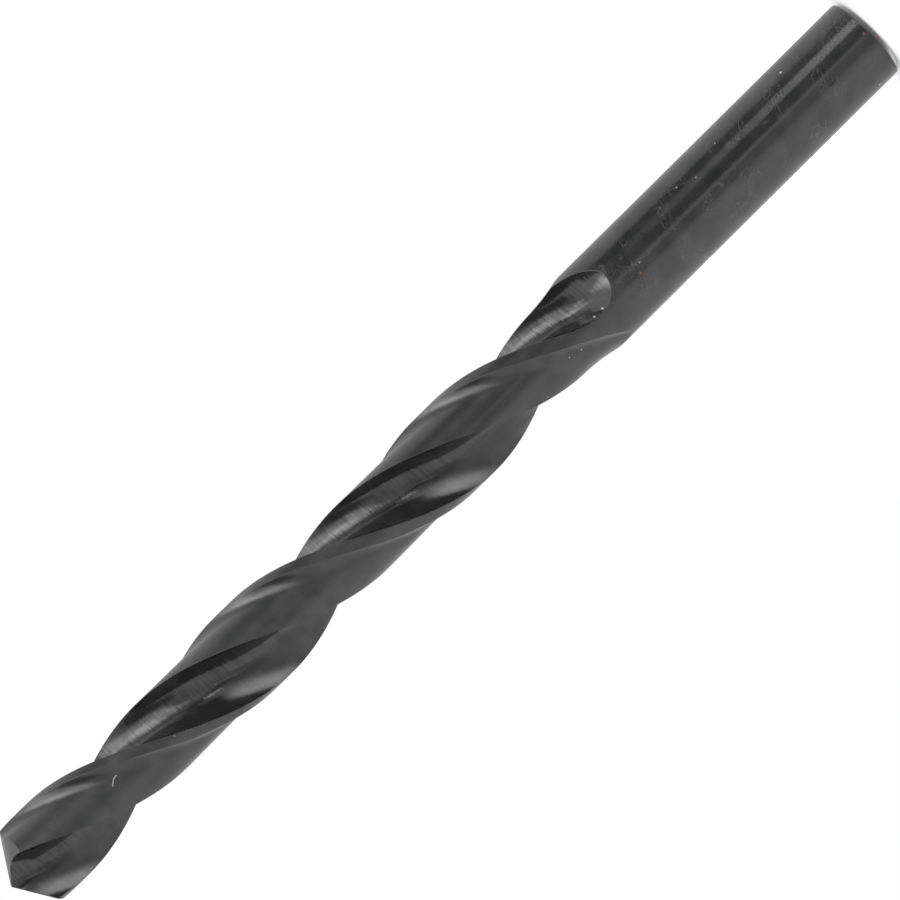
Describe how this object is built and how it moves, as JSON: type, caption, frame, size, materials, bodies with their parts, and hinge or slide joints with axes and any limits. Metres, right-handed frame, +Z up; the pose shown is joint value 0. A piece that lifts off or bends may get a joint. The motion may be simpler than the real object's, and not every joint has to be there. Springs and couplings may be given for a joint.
{
  "type": "twist drill bit",
  "caption": "Jobber-length twist drill bit in dark satin steel: straight round shank, right-hand helical flutes that run out before the shank, and a ground conical point.",
  "frame": {"origin": "middle of the flat end face of the shank", "axes": "+Z up the axis of the drill from the shank to the point; the lips lie along +X and -X at the outer corners of the point"},
  "size_m": [0.01, 0.01, 0.129],
  "materials": {
    "black_oxide_steel": "satin black oxide over ground high-speed steel"
  },
  "bodies": {
    "root": {"drill_bit": "black_oxide_steel"}
  },
  "joints": []
}
